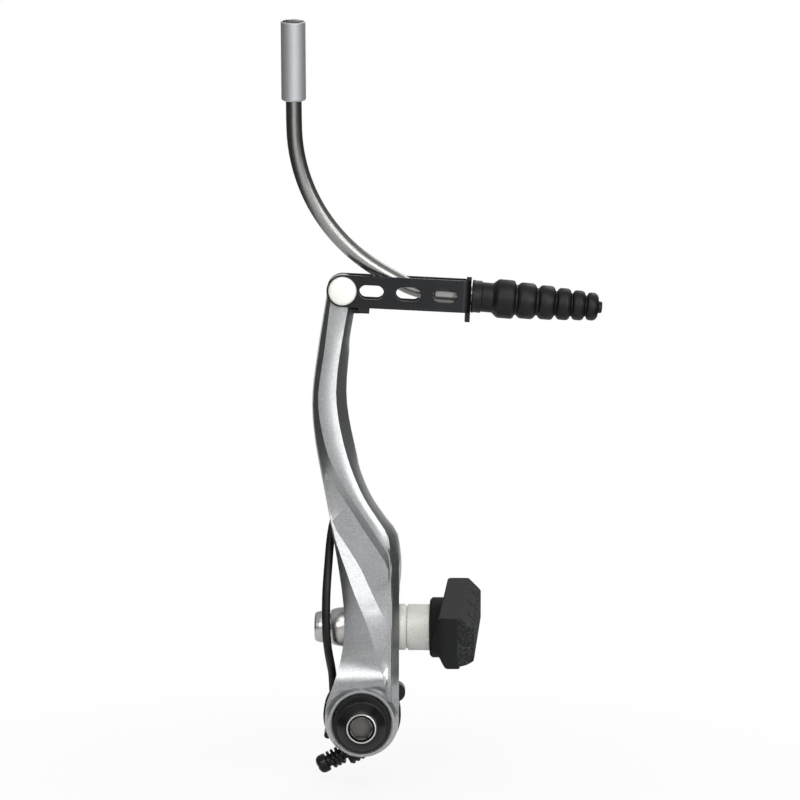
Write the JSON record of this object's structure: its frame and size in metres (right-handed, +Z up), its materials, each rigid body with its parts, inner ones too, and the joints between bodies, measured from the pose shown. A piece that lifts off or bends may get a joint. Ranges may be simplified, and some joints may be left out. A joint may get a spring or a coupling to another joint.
{
  "type": "v-brake arm",
  "caption": "Linear-pull bicycle brake arm with cable noodle, rubber boot, slotted link, return spring and threaded brake shoe on spherical washers.",
  "frame": {"origin": "on the pivot axis, in the plane of the shoe's stud", "axes": "+Y along the pivot towards the bicycle frame, +Z up the arm, +X towards the rim"},
  "size_m": [0.0785, 0.07, 0.1884],
  "materials": {
    "arm_paint": "satin metallic",
    "black_steel": "satin",
    "steel": "turned",
    "link_steel": "satin",
    "silver_rivet": "matte",
    "noodle_steel": "polished",
    "ferrule_alloy": "matte",
    "washer_alloy": "blasted",
    "boot_rubber": "matte",
    "shoe_rubber": "matte",
    "holder_plastic": "moulded",
    "liner_plastic": "smooth"
  },
  "bodies": {
    "root": {"pivot_bushing": "steel", "mounting_bolt": "black_steel", "spring_holder": "holder_plastic", "stopper_pin": "steel", "adjuster_spring": "black_steel", "return_spring": "black_steel", "spring_sleeve": "boot_rubber"},
    "tension_screw": {"adjusting_screw": "black_steel"},
    "arm": {"arm": "arm_paint", "spring_peg": "steel", "link_bumper": "holder_plastic"},
    "link": {"link": "link_steel", "link_rivet": "silver_rivet"},
    "nose": {"noodle_tip": "noodle_steel"},
    "noodle": {"noodle_tube": "noodle_steel", "noodle_liner": "liner_plastic", "noodle_ferrule": "ferrule_alloy"},
    "boot": {"boot": "boot_rubber"},
    "washers": {"inner_dome_washer": "steel", "outer_dome_washer": "washer_alloy"},
    "toe_washers": {"spacer": "washer_alloy", "outer_cup_washer": "steel"},
    "shoe": {"shoe_stud": "steel", "backing_plate": "steel", "shoe_rubber": "shoe_rubber", "shoe_nut": "steel"}
  },
  "joints": [
    {"name": "arm_pivot", "type": "hinge", "parent": "root", "child": "arm", "pos_m": [0, 0, 0], "axis": [0, 1, 0], "range_deg": [-15, 18], "stiffness_Nm_per_rad": 0.6, "deforming": ["return_spring", "spring_sleeve"]},
    {"name": "tension_screw_turn", "type": "hinge", "parent": "root", "child": "tension_screw", "pos_m": [0.00327, 0.0063, -0.00641], "axis": [0.891, 0, 0.454], "continuous": true},
    {"name": "link_swing", "type": "hinge", "parent": "arm", "child": "link", "pos_m": [-0.0046, -0.004, 0.1069], "axis": [0, 1, 0], "range_deg": [-75, 0]},
    {"name": "nose_slide", "type": "slide", "parent": "link", "child": "nose", "axis": [0.9962, 0, -0.0872], "range_m": [-0.0028, 0]},
    {"name": "noodle_turn", "type": "hinge", "parent": "nose", "child": "noodle", "pos_m": [0.02686, -0.004, 0.10536], "axis": [0.9962, 0, -0.0872], "range_deg": [-25, 8]},
    {"name": "boot_pull", "type": "slide", "parent": "link", "child": "boot", "axis": [0.9962, 0, -0.0872], "range_m": [0, 0.008]},
    {"name": "shoe_height", "type": "slide", "parent": "arm", "child": "washers", "axis": [0, 0, 1], "range_m": [-0.002, 0.004]},
    {"name": "shoe_toe", "type": "hinge", "parent": "washers", "child": "toe_washers", "pos_m": [0.00352, 0, 0.0226], "axis": [0, 0, 1], "range_deg": [-1.8, 4.6]},
    {"name": "shoe_turn", "type": "hinge", "parent": "toe_washers", "child": "shoe", "pos_m": [0.00352, 0, 0.0226], "axis": [0.999, -0.0454, 0], "range_deg": [-20, 20]}
  ]
}
